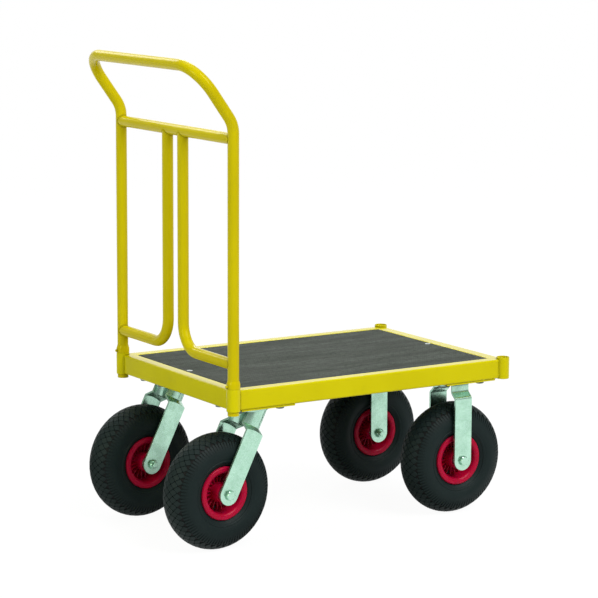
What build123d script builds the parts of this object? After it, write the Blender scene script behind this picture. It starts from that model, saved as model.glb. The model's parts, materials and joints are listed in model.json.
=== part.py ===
from build123d import *
import os
from math import atan2, cos, degrees, hypot, radians, sin, sqrt, tan

# Platform hand cart: a steel rail frame with a socket tube in each corner, a plywood deck, a push
# handle plugged into the two sockets at one end, and four air-tyred wheels in strip-steel forks.
# Millimetres. Z is up with the floor at 0, the handle is at the -X end, and left is +Y.
# The origin lies on the floor, under the middle of the cart's overall box.

# Rail frame and corner sockets
socket_pitch_x = 720.0
socket_pitch_y = 500.0
rail_h = 44.0
rail_w = 30.0
rail_wall = 2.5
rail_corner_r = 4.0
rail_overhang = 5.0
socket_od = 30.0
socket_wall = 2.0
socket_len = 50.0
socket_proud = 5.0
weld_gap = 0.2

# Deck board, the angle ledges that carry it, and its two screws
ledge_leg = 20.0
ledge_t = 3.0
deck_t = 12.0
deck_drop = 0.5
deck_edge_gap = 1.0
deck_corner_r = 3.0
deck_screw_d = 6.0
deck_screw_head_d = 13.0
deck_screw_head_h = 3.5
deck_screw_inset = 9.0
deck_screw_grip = 6.0
screw_hole_gap = 0.2

# Push handle: bent hoop, crossbar, two bent inner bars, stop collars and their set screws
handle_od = 25.0
handle_wall = 2.0
handle_tail = 9.0
handle_bar_h = 1060.0
handle_rake_h = 124.0
handle_knee_r = 60.0
handle_lean = 36.0
handle_corner_r = 70.0
crossbar_drop = 31.0
inner_bar_y = 34.0
inner_bar_gap = 21.5
inner_bar_r = 60.0
collar_h = 10.0
collar_taper_h = 8.0
collar_fit_gap = 0.05
set_screw_d = 6.0
set_screw_proud = 4.0

# Casters: places, mounting plates and bolts
caster_y = 172.0
fixed_x = 270.0
king_x = 272.0
trail = 90.0
caster_turn = 4.0
cross_plate_t = 4.0
cross_plate_inset = 3.0
plate_len = 135.0
plate_wid = 110.0
plate_t = 5.0
plate_corner_r = 10.0
bolt_pitch_x = 105.0
bolt_pitch_y = 80.0
bolt_d = 10.0
bolt_af = 17.0
bolt_head_h = 6.4
bolt_nut_h = 8.0
bolt_tail = 2.5
bolt_hole_gap = 0.5

# Forks and swivel heads
fork_w = 46.0
fork_t = 5.0
fork_gap = 94.0
fork_neck_od = 76.0
fork_neck_h = 22.0
fork_bend_r = 8.0
jog_clear = 17.0
jog_rise = 12.0
race_h = 3.0
race_od = 70.0
race_id = 44.0
race_gap = 0.2
crown_od = 84.0
crown_t = 5.0
king_d = 16.0
king_head_d = 28.0
king_head_h = 3.0
king_nut_af = 24.0
king_nut_h = 10.0
king_tail = 3.0
running_gap = 0.05
seat_gap = 0.3

# Wheels: tyre, inner tube, two-part ribbed rim, bearings, axle
tyre_od = 260.0
tyre_wall = 6.5
tread_depth = 3.0
tread_angle = 92.0
lug_rows = 7
lug_count = 48
lug_groove = 2.6
lug_root = 1.0
section_flats = 12
bead_w = 8.5
tube_wall = 2.5
tube_gap = 0.5
valve_d = 8.0
valve_bore_d = 2.5
valve_reach = 14.0
valve_y = 16.0
valve_hole_gap = 0.6
rim_flange_d = 120.0
rim_flange_w = 5.0
rim_barrel_d = 100.0
rim_barrel_t = 4.0
rim_width = 72.0
rim_split_gap = 0.2
rim_edge_r = 4.2
rim_mouth_r = 8.0
dish_draft = 7.0
web_t = 5.0
rib_count = 20
rib_t = 2.0
rib_rim_h = 9.0
rib_hub_h = 6.0
rib_root = 1.0
hub_d = 44.0
hub_len = 75.0
bearing_od = 35.0
bearing_w = 12.0
bearing_lip = 3.0
bead_gap = 0.3
sleeve_od = 20.0
spacer_od = 30.0
axle_d = 12.0
axle_af = 19.0
axle_head_h = 7.5
axle_nut_h = 10.0
axle_tail = 3.0
axle_gap = 0.15

# Heights and places that follow from the sizes above, stacked up from the floor
plate_bottom = tyre_od + jog_clear + jog_rise + fork_neck_h
plate_top = plate_bottom + plate_t
rail_bottom = plate_top + cross_plate_t
deck_height = rail_bottom + rail_h
crown_top = plate_bottom - race_h
crown_bottom = crown_top - crown_t
axle_h = tyre_od / 2
deck_top = deck_height - deck_drop
ledge_top = deck_top - deck_t
socket_top = deck_height + socket_proud
socket_bottom = socket_top - socket_len
socket_r = socket_od / 2
handle_r = handle_od / 2
handle_knee_h = handle_bar_h - handle_rake_h
crossbar_h = handle_knee_h - crossbar_drop
collar_straight_top = socket_top + collar_h
collar_top = collar_straight_top + collar_taper_h
inner_bar_low_h = collar_top + inner_bar_gap + handle_r

# The tyre's outer section is one arc from bead to bead through the tread's middle
bead_r = rim_flange_d / 2 + bead_gap
bead_half = rim_width / 2 - rim_flange_w
section_centre = (axle_h**2 - bead_r**2 - bead_half**2) / (2 * (axle_h - bead_r))
section_r = axle_h - section_centre
cavity_r = section_r - tyre_wall
row_angle = tread_angle / lug_rows
lug_angle = 360 / lug_count


def lug_half_size(reach):
    """Half length round the tyre and half width across it of a diamond tread block at a radius."""
    half_cell = (reach * radians(lug_angle) / 2, section_r * radians(row_angle))
    share = 1 - lug_groove / 2 * hypot(*half_cell) / (half_cell[0] * half_cell[1])
    return half_cell[0] * share, half_cell[1] * share


# The overall box runs from the swivel tyres to the fixed tyres, so its middle sets the deck's place
turn_cos = cos(radians(caster_turn))
lug_corner = lug_half_size(axle_h)[1] * sin(radians(caster_turn))
rear_reach = king_x + (trail + axle_h) * turn_cos + lug_corner
front_reach = fixed_x + axle_h
deck_x = (rear_reach - front_reach) / 2
handle_x = deck_x - socket_pitch_x / 2
front_x = deck_x + socket_pitch_x / 2
rail_x = socket_pitch_x / 2 + rail_overhang
rail_y = socket_pitch_y / 2 + rail_overhang
bay_x = rail_x - rail_w
bay_y = rail_y - rail_w
sides = {"left": 1, "right": -1}


def upright_tube(od, bore, low, high):
    """A tube on the Z axis between two heights."""
    return Pos(0, 0, low) * extrude(Circle(od / 2) - Circle(bore / 2), high - low)


def bar(diameter, low, high):
    """A round bar on the Z axis between two heights."""
    return Pos(0, 0, low) * extrude(Circle(diameter / 2), high - low)


def hexagon(across_flats, low, high):
    """A hexagon prism on the Z axis between two heights, with flats facing +X and -X."""
    outline = RegularPolygon(across_flats / 2, 6, major_radius=False, rotation=30)
    return Pos(0, 0, low) * extrude(outline, high - low)


def spun(points):
    """A ring turned about the Z axis from (radius, height) corners."""
    return revolve(make_face(Plane.XZ * Polyline(*points, close=True)), Axis.Z)


def bent_tube(path):
    """A handle tube swept along a bent path."""
    start = Plane(origin=path @ 0, z_dir=path % 0)
    outer = sweep(start * Circle(handle_r), path=path)
    return outer - sweep(start * Circle(handle_r - handle_wall), path=path)


# Rail frame


def mitred_rail(half_length, half_width, along):
    """A hollow rail on the +Y side whose ends are mitred and scooped to wrap the socket tubes."""
    inner = RectangleRounded(rail_w - 2 * rail_wall, rail_h - 2 * rail_wall, rail_corner_r - rail_wall)
    section = RectangleRounded(rail_w, rail_h, rail_corner_r) - inner
    place = Pos(0, half_width - rail_w / 2, deck_height - rail_h / 2)
    tube = place * extrude(Plane.YZ * section, half_length, both=True)
    long_end = half_length - weld_gap
    short_end = long_end - rail_w
    near = half_width - rail_w
    corners = [(-long_end, half_width), (long_end, half_width), (short_end, near), (-short_end, near)]
    outline = Pos(0, 0, rail_bottom) * extrude(make_face(Polyline(*corners, close=True)), rail_h)
    scoop = bar(socket_od + 2 * weld_gap, rail_bottom, deck_height)
    ends = [Pos(side * (half_length - rail_overhang), half_width - rail_overhang) * scoop for side in (-1, 1)]
    return Pos(deck_x, 0, 0) * Rot(0, 0, along) * ((tube & outline) - ends)


parts = {}
parts["side_rail_left"] = mitred_rail(rail_x, rail_y, 0)
parts["side_rail_right"] = mitred_rail(rail_x, rail_y, 180)
parts["end_rail_handle"] = mitred_rail(rail_y, rail_x, 90)
parts["end_rail_front"] = mitred_rail(rail_y, rail_x, -90)

socket_bore = socket_od - 2 * socket_wall
for end, x in (("handle", handle_x), ("front", front_x)):
    for side, sign in sides.items():
        socket = upright_tube(socket_od, socket_bore, socket_bottom, socket_top)
        parts[f"socket_{end}_{side}"] = Pos(x, sign * socket_pitch_y / 2) * socket

# Deck ledges, board and screws


def ledge(half_length, face):
    """An angle ledge against a rail's inner face on the +Y side, its shelf level with the board."""
    corners = [
        (face, ledge_top),
        (face, ledge_top - ledge_leg),
        (face - ledge_t, ledge_top - ledge_leg),
        (face - ledge_t, ledge_top - ledge_t),
        (face - ledge_leg, ledge_top - ledge_t),
        (face - ledge_leg, ledge_top),
    ]
    return extrude(make_face(Plane.YZ * Polyline(*corners, close=True)), half_length, both=True)


screw_x = bay_x - deck_edge_gap - deck_screw_inset
deck_frame = Pos(deck_x, 0, 0)
screw_places = [Pos(deck_x + end * screw_x, 0) for end in (-1, 1)]
screw_hole = bar(deck_screw_d + 2 * screw_hole_gap, ledge_top - deck_t, deck_top + deck_t)
side_ledge = ledge(bay_x, bay_y)
end_ledge = Rot(0, 0, 90) * ledge(bay_y - ledge_leg - weld_gap, bay_x)
ledges = [deck_frame * Rot(0, 0, turn) * side_ledge for turn in (0, 180)]
screw_holes = [place * screw_hole for place in screw_places]
ledges += [deck_frame * Rot(0, 0, turn) * end_ledge - screw_holes for turn in (0, 180)]
parts["deck_ledges"] = Compound(children=[solid for piece in ledges for solid in piece.solids()])


def countersunk(head_d, shank_d, head_h, gap):
    """Corner points of a countersunk head and shank that ends at the ledge, grown by a gap."""
    tip = ledge_top - ledge_t - deck_screw_grip
    neck = deck_top - head_h
    head_r = head_d / 2 + gap
    shank_r = shank_d / 2 + gap
    return [(0, tip), (shank_r, tip), (shank_r, neck), (head_r, deck_top), (0, deck_top)]


board_size = (2 * (bay_x - deck_edge_gap), 2 * (bay_y - deck_edge_gap))
board = extrude(RectangleRounded(*board_size, deck_corner_r), deck_t)
screw_sizes = (deck_screw_head_d, deck_screw_d, deck_screw_head_h)
screw_pocket = spun(countersunk(*screw_sizes, screw_hole_gap))
parts["deck_board"] = Pos(deck_x, 0, ledge_top) * board - [p * screw_pocket for p in screw_places]
deck_screw = spun(countersunk(*screw_sizes, 0))
parts["deck_screws"] = Compound(children=[p * deck_screw for p in screw_places])

# Push handle

uprights = [Pos(handle_x, sign * socket_pitch_y / 2) for sign in sides.values()]
handle_low = socket_bottom - handle_tail
top_x = handle_x - handle_rake_h * tan(radians(handle_lean))
half_y = socket_pitch_y / 2
hoop_path = FilletPolyline(
    (handle_x, half_y, handle_low),
    (handle_x, half_y, handle_knee_h),
    (top_x, half_y, handle_bar_h),
    (top_x, -half_y, handle_bar_h),
    (handle_x, -half_y, handle_knee_h),
    (handle_x, -half_y, handle_low),
    radius=[handle_knee_r, handle_corner_r, handle_corner_r, handle_knee_r],
)
parts["handle_hoop"] = bent_tube(hoop_path)

hoop_cope = [place * bar(handle_od + 2 * weld_gap, handle_low, handle_knee_h) for place in uprights]
crossbar = Pos(handle_x, 0, crossbar_h) * Rot(90, 0, 0) * upright_tube(
    handle_od, handle_od - 2 * handle_wall, -half_y, half_y
)
parts["handle_crossbar"] = crossbar - hoop_cope
bar_cope = Pos(handle_x, 0, crossbar_h) * Rot(90, 0, 0) * bar(handle_od + 2 * weld_gap, -half_y, half_y)
for side, sign in sides.items():
    path = FilletPolyline(
        (handle_x, sign * inner_bar_y, crossbar_h),
        (handle_x, sign * inner_bar_y, inner_bar_low_h),
        (handle_x, sign * half_y, inner_bar_low_h),
        radius=inner_bar_r,
    )
    parts[f"inner_bar_{side}"] = bent_tube(path) - bar_cope - hoop_cope

collar_bore = handle_r + collar_fit_gap
collar_points = [
    (collar_bore, socket_top),
    (socket_r, socket_top),
    (socket_r, collar_straight_top),
    (handle_r + 2 * collar_fit_gap, collar_top),
    (collar_bore, collar_top),
]
to_screw = Pos(0, 0, socket_top + collar_h / 2) * Rot(0, -90, 0)
set_screw_hole = to_screw * bar(set_screw_d + 2 * collar_fit_gap, 0, socket_od)
collar = spun(collar_points) - set_screw_hole
set_screw = to_screw * bar(set_screw_d, collar_bore, socket_r + set_screw_proud)
parts["stop_collars"] = Compound(children=[place * collar for place in uprights])
parts["set_screws"] = Compound(children=[place * set_screw for place in uprights])

# Caster mounting: cross plates under the rails, bolts and nuts

caster_x = {"handle": deck_x - king_x, "front": deck_x + fixed_x}
bolt_spots = GridLocations(bolt_pitch_x, bolt_pitch_y, 2, 2).locations
bolt_hole = bar(bolt_d + 2 * bolt_hole_gap, plate_bottom - plate_t, rail_bottom + plate_t)
caster_places = {
    (end, side): Pos(x, sign * caster_y) for end, x in caster_x.items() for side, sign in sides.items()
}
for end, x in caster_x.items():
    outline = Rectangle(plate_len, 2 * (rail_y - cross_plate_inset))
    sheet = Pos(x, 0, plate_top) * extrude(outline, cross_plate_t)
    holes = [caster_places[end, side] * spot * bolt_hole for side in sides for spot in bolt_spots]
    parts[f"cross_plate_{end}"] = sheet - holes

bolt_top = rail_bottom + bolt_nut_h + bolt_tail
caster_bolt = hexagon(bolt_af, plate_bottom - bolt_head_h, plate_bottom) + bar(bolt_d, plate_bottom, bolt_top)
caster_nut = hexagon(bolt_af, rail_bottom, rail_bottom + bolt_nut_h)
caster_nut -= bar(bolt_d + 2 * running_gap, rail_bottom, rail_bottom + bolt_nut_h)
all_spots = [place * spot for place in caster_places.values() for spot in bolt_spots]
parts["caster_bolts"] = Compound(children=[spot * caster_bolt for spot in all_spots])
parts["caster_nuts"] = Compound(children=[spot * caster_nut for spot in all_spots])

# Forks

leg_in = fork_gap / 2
leg_out = leg_in + fork_t
neck_r = fork_neck_od / 2
jog_low = axle_h + jog_clear
jog_high = jog_low + jog_rise
axle_hole = Rot(90, 0, 0) * bar(axle_d + 2 * axle_gap, -leg_out, leg_out)


def caster_plate():
    """The flat top plate of a caster, centred on the caster's own axis."""
    sheet = Pos(0, 0, plate_bottom) * extrude(RectangleRounded(plate_len, plate_wid, plate_corner_r), plate_t)
    return sheet - [spot * bolt_hole for spot in bolt_spots]


def leg_band(length):
    """A side outline round the axle: a strip with a rounded lower end, as deep as both legs."""
    strip = Pos(0, 0, length / 2) * Box(fork_w, 2 * leg_out, length)
    return strip + Rot(90, 0, 0) * bar(fork_w, -leg_out, leg_out)


def fixed_fork():
    """A joggled strip bent into a U, welded under its top plate and bored for the axle."""
    bend = FilletPolyline(
        (-leg_out, axle_h - fork_w),
        (-leg_out, axle_h + jog_low),
        (-neck_r, axle_h + jog_high),
        (-neck_r, plate_bottom),
        (neck_r, plate_bottom),
        (neck_r, axle_h + jog_high),
        (leg_out, axle_h + jog_low),
        (leg_out, axle_h - fork_w),
        radius=fork_bend_r,
    )
    profile = make_face(offset(bend, fork_t, side=Side.RIGHT))
    strip = extrude(Plane.YZ * profile, fork_w / 2, both=True)
    at_axle = Pos(0, 0, axle_h)
    return (strip & at_axle * leg_band(plate_bottom - axle_h)) - at_axle * axle_hole + caster_plate()


def flared_core(neck, half_gap, drop, top):
    """A round neck that flares to a flat-sided block over the wheel, measured up from the axle."""
    flare_r = hypot(half_gap, fork_w / 2)
    low = jog_low - drop
    core = bar(2 * neck, low + jog_rise, top)
    core += Pos(0, 0, low + jog_rise / 2) * Cone(flare_r, neck, jog_rise)
    core += Pos(0, 0, low / 2 - fork_w / 2) * Box(2 * flare_r, 2 * flare_r, low + fork_w)
    return core & Pos(0, 0, top / 2 - fork_w / 2) * Box(2 * flare_r, 2 * half_gap, top + fork_w)


def swivel_fork():
    """A raked pressed fork: round cheeks under the crown flare out to flat legs beside the wheel."""
    rise = crown_bottom - axle_h
    rake = degrees(atan2(trail, rise))
    top = hypot(rise, trail) + fork_w
    flare_slope = (hypot(leg_out, fork_w / 2) - neck_r) / jog_rise
    drop = fork_t * (hypot(1, flare_slope) - 1) / flare_slope
    shell = (flared_core(neck_r, leg_out, 0, top) & leg_band(top)) - axle_hole
    shell -= flared_core(neck_r - fork_t, leg_in, drop, top)
    raked = Pos(-trail, 0, axle_h) * Rot(0, rake, 0) * shell
    below_crown = Pos(0, 0, crown_bottom / 2) * Box(4 * top, 4 * leg_out, crown_bottom)
    crown = upright_tube(crown_od, king_d + 2 * running_gap, crown_bottom, crown_top)
    return (raked & below_crown) + crown


def king_pin(gap):
    """The countersunk king pin as a solid of revolution, grown by a gap for its hole."""
    tip = crown_bottom - seat_gap - king_nut_h - king_tail
    shank_r = king_d / 2 + gap
    head_r = king_head_d / 2 + gap
    neck = plate_top - king_head_h
    return spun([(0, tip), (shank_r, tip), (shank_r, neck), (head_r, plate_top), (0, plate_top)])


nut_top = crown_bottom - seat_gap
king_nut = hexagon(king_nut_af, nut_top - king_nut_h, nut_top)
king_nut -= bar(king_d + 2 * running_gap, nut_top - king_nut_h, nut_top)
race_ring = upright_tube(race_od, race_id, crown_top, plate_bottom - race_gap)

# One wheel, built with its axle on the Y axis and its outer face towards -Y

barrel_r = rim_barrel_d / 2
flange_r = rim_flange_d / 2
rim_half = rim_width / 2
hub_half = hub_len / 2
to_axle = Rot(90, 0, 0)


def tread_row(row):
    """A ring of diamond blocks; the middle row stands on the floor, the others end at the tyre's arc."""
    tilt = row * row_angle
    half_len, half_wid = lug_half_size(section_centre + section_r * cos(radians(tilt)))
    top = sqrt(section_r**2 - half_wid**2) if row else section_r
    outline = make_face(Polyline((half_len, 0), (0, half_wid), (-half_len, 0), (0, -half_wid), close=True))
    foot = section_r - tread_depth - lug_root
    block = extrude(Plane.YZ.offset(foot) * outline, top - foot)
    block = Pos(section_centre, 0, 0) * Rot(0, -tilt, 0) * block
    stagger = row % 2 / 2
    return [Rot(0, 0, (k + stagger) * lug_angle) * block for k in range(lug_count)]


def tyre():
    """An open-bottomed casing with two feet on the rim barrel and staggered blocks on its sunk crown."""
    foot_r = barrel_r + bead_gap
    crown = axle_h - tread_depth
    crown_r = ((crown - section_centre) ** 2 + section_r**2) / (2 * (crown - section_centre))
    round_part = Pos(section_centre, 0) * Circle(section_r) & Pos(crown - crown_r, 0) * Circle(crown_r)
    above_bead = Pos(bead_r + section_r, 0) * Rectangle(2 * section_r, 2 * section_r)
    feet = Pos((foot_r + bead_r) / 2, 0) * Rectangle(bead_r - foot_r, 2 * bead_half)
    inside = Pos(section_centre, 0) * RegularPolygon(cavity_r, section_flats)
    mouth_size = (section_centre - foot_r, 2 * (bead_half - bead_w))
    mouth = Pos((foot_r + section_centre) / 2, 0) * Rectangle(*mouth_size)
    section = (round_part & above_bead) + feet - inside - mouth
    middle = lug_rows // 2
    lugs = [lug for row in range(-middle, middle + 1) for lug in tread_row(row)]
    return revolve(Plane.XZ * section, Axis.Z) + lugs


def inner_tube():
    """A hollow ring that fills the casing, with a bored valve stem that points at the hub."""
    outer_r = cavity_r - tube_gap / cos(radians(180 / section_flats))
    section = RegularPolygon(outer_r, section_flats) - RegularPolygon(outer_r - tube_wall, section_flats)
    ring = revolve(Plane.XZ * Pos(section_centre, 0) * section, Axis.Z)
    stem = Pos(0, 0, valve_y) * Rot(0, 90, 0)
    stem_low = barrel_r - valve_reach
    stem_root = section_centre - sqrt(outer_r**2 - valve_y**2) + tube_wall
    bore = stem * bar(valve_bore_d, stem_low, section_centre - outer_r / 2)
    return ring + stem * bar(valve_d, stem_low, stem_root) - bore


def rim(valve_hole):
    """Half a rim on the +Z side: hub, web, drafted dish and rolled flange, with ribs that fall to the hub."""
    split = rim_split_gap / 2
    hub_r = hub_d / 2
    seat_r = bearing_od / 2 + running_gap
    seat_low = hub_half - bearing_w
    lip_r = seat_r - bearing_lip
    mouth_r = barrel_r - rim_barrel_t
    floor_r = mouth_r - dish_draft
    flange_low = rim_half - rim_flange_w + bead_gap
    web_top = split + web_t
    corners = [
        (lip_r, split),
        (barrel_r, split),
        (barrel_r, flange_low),
        (flange_r, flange_low),
        (flange_r, rim_half),
        (mouth_r, rim_half),
        (floor_r, web_top),
        (hub_r, web_top),
        (hub_r, hub_half),
        (seat_r, hub_half),
        (seat_r, seat_low),
        (lip_r, seat_low),
    ]
    section = make_face(Plane.XZ * Polyline(*corners, close=True))
    for corner_r, roll_r in ((flange_r, rim_edge_r), (mouth_r, rim_mouth_r)):
        corner = section.vertices().sort_by_distance((corner_r, 0, rim_half))[0]
        section = fillet(corner, roll_r)
    half = revolve(section, Axis.Z)
    inner_r = hub_r - rib_root
    outer_r = mouth_r + rib_root
    rib_corners = [
        (inner_r, web_top - rib_root),
        (outer_r, web_top - rib_root),
        (outer_r, web_top + rib_rim_h),
        (inner_r, web_top + rib_hub_h),
    ]
    rib = extrude(make_face(Plane.XZ * Polyline(*rib_corners, close=True)), rib_t / 2, both=True)
    half += [Rot(0, 0, (k + 0.5) * 360 / rib_count) * rib for k in range(rib_count)]
    if valve_hole:
        drill = Rot(0, 90, 0) * bar(valve_d + 2 * valve_hole_gap, floor_r - rim_barrel_t, flange_r)
        half -= Pos(0, 0, valve_y) * drill
    return half


bearing = upright_tube(bearing_od, sleeve_od + 2 * running_gap, hub_half - bearing_w, hub_half)
spacer = upright_tube(spacer_od, sleeve_od + 2 * running_gap, hub_half + seat_gap, leg_in)
sleeve = upright_tube(sleeve_od, axle_d + 2 * axle_gap, -leg_in, leg_in)
flip = Rot(180, 0, 0)
wheel = {
    "tyre": tyre(),
    "inner_tube": inner_tube(),
    "rim_outer": rim(True),
    "rim_inner": flip * rim(False),
    "bearings": Compound(children=[bearing, flip * bearing]),
}
bolt_end = leg_out + axle_nut_h + axle_tail
axle_bolt = hexagon(axle_af, leg_out, leg_out + axle_head_h) + bar(axle_d, -bolt_end, leg_out)
axle_nut = hexagon(axle_af, -leg_out - axle_nut_h, -leg_out)
axle_nut -= bar(axle_d + 2 * running_gap, -leg_out - axle_nut_h, -leg_out)
axle = {
    "axle_bolt": Compound(children=[axle_bolt, axle_nut]),
    "axle_sleeve": Compound(children=[sleeve, spacer, flip * spacer]),
}

# Casters, each in its place; the wheel's outer face always looks away from the cart

top_plate = caster_plate() - king_pin(running_gap)
king_bolt = Compound(children=[king_pin(0), king_nut])
turned_fork = Rot(0, 0, caster_turn)
for (end, side), place in caster_places.items():
    outward = Rot(0, 0, 90 + 90 * sides[side])
    if end == "handle":
        parts[f"swivel_plate_{side}"] = place * top_plate
        parts[f"king_bolt_{side}"] = place * king_bolt
        parts[f"race_ring_{side}"] = place * race_ring
        parts[f"swivel_fork_{side}"] = place * turned_fork * swivel_fork()
        at_axle = place * turned_fork * Pos(-trail, 0, axle_h)
    else:
        parts[f"fixed_fork_{side}"] = place * fixed_fork()
        at_axle = place * Pos(0, 0, axle_h)
    for name, piece in (wheel | axle).items():
        parts[f"{name}_{end}_{side}"] = at_axle * outward * to_axle * piece

os.makedirs("parts", exist_ok=True)
for name, shape in parts.items():
    export_step(shape, f"parts/{name}.step")
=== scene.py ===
import json
import math

import bmesh
import bpy
from mathutils import Matrix, Vector


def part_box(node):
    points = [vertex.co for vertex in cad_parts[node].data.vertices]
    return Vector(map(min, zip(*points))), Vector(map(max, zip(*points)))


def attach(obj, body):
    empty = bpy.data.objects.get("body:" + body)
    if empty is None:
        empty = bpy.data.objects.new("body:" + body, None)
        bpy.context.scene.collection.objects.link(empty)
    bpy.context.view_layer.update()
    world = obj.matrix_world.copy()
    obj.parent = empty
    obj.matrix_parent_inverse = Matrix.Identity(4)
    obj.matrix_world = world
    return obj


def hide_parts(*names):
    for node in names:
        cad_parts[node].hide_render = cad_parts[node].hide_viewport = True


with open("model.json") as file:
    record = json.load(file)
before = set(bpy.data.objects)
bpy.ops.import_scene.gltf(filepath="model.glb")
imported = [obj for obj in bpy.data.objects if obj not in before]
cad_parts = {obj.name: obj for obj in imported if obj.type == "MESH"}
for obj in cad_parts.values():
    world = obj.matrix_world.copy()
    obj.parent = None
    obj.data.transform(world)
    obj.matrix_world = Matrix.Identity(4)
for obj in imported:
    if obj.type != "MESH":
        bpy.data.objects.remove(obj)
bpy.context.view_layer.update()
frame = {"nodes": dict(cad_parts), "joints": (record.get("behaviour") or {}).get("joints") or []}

# Rail frame: four lengths of 44 x 30 mm rectangular steel tube, mitred and coped round a short
# socket tube in each corner and welded. The two front sockets are left open for stakes or a
# second handle. The frame is powder coated greenish yellow after welding.
mm = 0.001
rail_edge = 0.4 * mm
socket_edge = 1.1 * mm


def new_finish(name):
    """A finish to be filled in: its material, node tree, shader and the piece's own coordinates."""
    finish = bpy.data.materials.new(name)
    finish.use_nodes = True
    tree = finish.node_tree
    place = tree.nodes.new("ShaderNodeTexCoord").outputs["Object"]
    return finish, tree, tree.nodes["Principled BSDF"], place


def fill(tree, node, values):
    """Gives a node's sockets their values; a value that is itself a socket is linked."""
    for key, value in values.items():
        if isinstance(value, bpy.types.NodeSocket):
            tree.links.new(value, node.inputs[key])
        else:
            node.inputs[key].default_value = value
    return node


def add(tree, kind, values, **settings):
    """One new node with its settings and its sockets' values."""
    node = tree.nodes.new(kind)
    for key, value in settings.items():
        setattr(node, key, value)
    return fill(tree, node, values)


def mottle(tree, place, scale, detail=3.0, stretch=(1, 1, 1)):
    """Soft random mottling, about 1 / scale metres across, drawn out where it is stretched."""
    drawn = add(tree, "ShaderNodeMapping", {"Vector": place, "Scale": stretch}).outputs[0]
    values = {"Vector": drawn, "Scale": scale, "Detail": detail}
    return add(tree, "ShaderNodeTexNoise", values).outputs["Fac"]


def level(tree, value, low, high, start=0.3, stop=0.7):
    """A pattern's value laid between two levels."""
    sockets = {"Value": value, "From Min": start, "From Max": stop, "To Min": low, "To Max": high}
    return add(tree, "ShaderNodeMapRange", sockets).outputs[0]


def tint(tree, amount, one, other):
    """A colour that goes from one to the other with an amount; either may be a socket."""
    return add(tree, "ShaderNodeMix", {0: amount, 6: one, 7: other}, data_type="RGBA").outputs[2]


def relief(tree, shader, *heights):
    """Surface relief from (height, depth in millimetres) pairs, laid one on the other."""
    normal = None
    for height, depth in heights:
        values = {"Height": height, "Distance": depth * mm, "Strength": 1.0}
        if normal is not None:
            values["Normal"] = normal
        normal = add(tree, "ShaderNodeBump", values).outputs[0]
    tree.links.new(normal, shader.inputs["Normal"])


def openness(tree, reach):
    """How open a surface lies to what is within a reach of it, from 0 in a corner to 1."""
    return add(tree, "ShaderNodeAmbientOcclusion", {"Distance": reach}, samples=6).outputs["AO"]


def powder_coat(name, deep, pale):
    """Yellow powder coat with orange peel, drifting tone, a little dust and painted shade in
    joints.
    """
    finish, tree, shader, place = new_finish(name)
    drift = mottle(tree, place, 6.0)
    peel = mottle(tree, place, 520.0, 1.0)
    dust = mottle(tree, place, 45.0, 6.0)
    joint_openness = openness(tree, 6 * mm)
    base = tint(tree, level(tree, drift, 0, 1), deep, pale)
    worn = tint(tree, level(tree, dust, 0, 0.16, 0.58, 0.78), base, (0.44, 0.39, 0.01, 1))
    # Darkening where the coat lies close to other surfaces is painted shade in its corners and
    # joints.
    joint_shaded = tint(tree, level(tree, joint_openness, 0.9, 0, 0.35, 0.92), worn, (0.10, 0.085, 0.005, 1))
    look = {"Base Color": joint_shaded, "Roughness": level(tree, dust, 0.09, 0.17)}
    look |= {"Specular IOR Level": 0.16, "Specular Tint": (1.0, 0.86, 0.30, 1)}
    fill(tree, shader, look)
    relief(tree, shader, (peel, 0.012), (drift, 0.10))
    return finish


def as_mesh(name, shape):
    """A plain mesh from a bmesh that is done with."""
    mesh = bpy.data.meshes.new(name)
    shape.to_mesh(mesh)
    shape.free()
    return mesh


def put(name, data):
    """A new object in the scene, at the origin."""
    thing = bpy.data.objects.new(name, data)
    bpy.context.scene.collection.objects.link(thing)
    return thing


def settle(name, mesh, body, finish, stands_for=(), edge=0.0):
    """Puts a finished mesh on its body, smooth but for its edges, which may be eased."""
    sharp_from, eased_from = math.radians(32), math.radians(38)
    piece = put(name, mesh)
    mesh.materials.clear()
    mesh.materials.append(finish)
    mesh.polygons.foreach_set("use_smooth", [True] * len(mesh.polygons))
    mesh.set_sharp_from_angle(angle=sharp_from)
    if edge:
        ease = piece.modifiers.new("eased_edges", "BEVEL")
        ease.width = edge
        ease.segments = 2
        ease.limit_method = "ANGLE"
        ease.angle_limit = eased_from
        ease.harden_normals = True
    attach(piece, body)
    if stands_for:
        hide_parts(*stands_for)


def dress(node, body, finish, edge):
    """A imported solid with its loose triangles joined, its edges eased and a finish put on."""
    solid = bmesh.new()
    solid.from_mesh(frame["nodes"][node].data)
    bmesh.ops.remove_doubles(solid, verts=solid.verts, dist=0.004 * mm)
    flat = math.radians(0.4)
    bmesh.ops.dissolve_limit(solid, angle_limit=flat, verts=solid.verts, edges=solid.edges)
    settle(node + "_finished", as_mesh(node, solid), body, finish, [node], edge)


yellow = powder_coat("frame_powder_coat", (0.60, 0.524, 0.0010, 1), (0.66, 0.583, 0.0018, 1))
corners = [(end, side) for end in ("handle", "front") for side in ("left", "right")]
for rail in ("side_rail_left", "side_rail_right", "end_rail_handle", "end_rail_front"):
    dress(rail, "chassis", yellow, rail_edge)
for end, side in corners:
    dress(f"socket_{end}_{side}", "chassis", yellow, socket_edge)


# Weld seams: every joint of the frame and the handle carries a small ripple weld, laid in short
# overlapping drops and coated over with the same yellow.
frame_bead_r = 2.0 * mm
bead_pitch = 2.4 * mm
drop_least, drop_most, drop_seed = 0.88, 1.08, 4
seam_outset = 0.6 * mm
seam_offset = 5.0 * mm
seam_steps = 10


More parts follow.
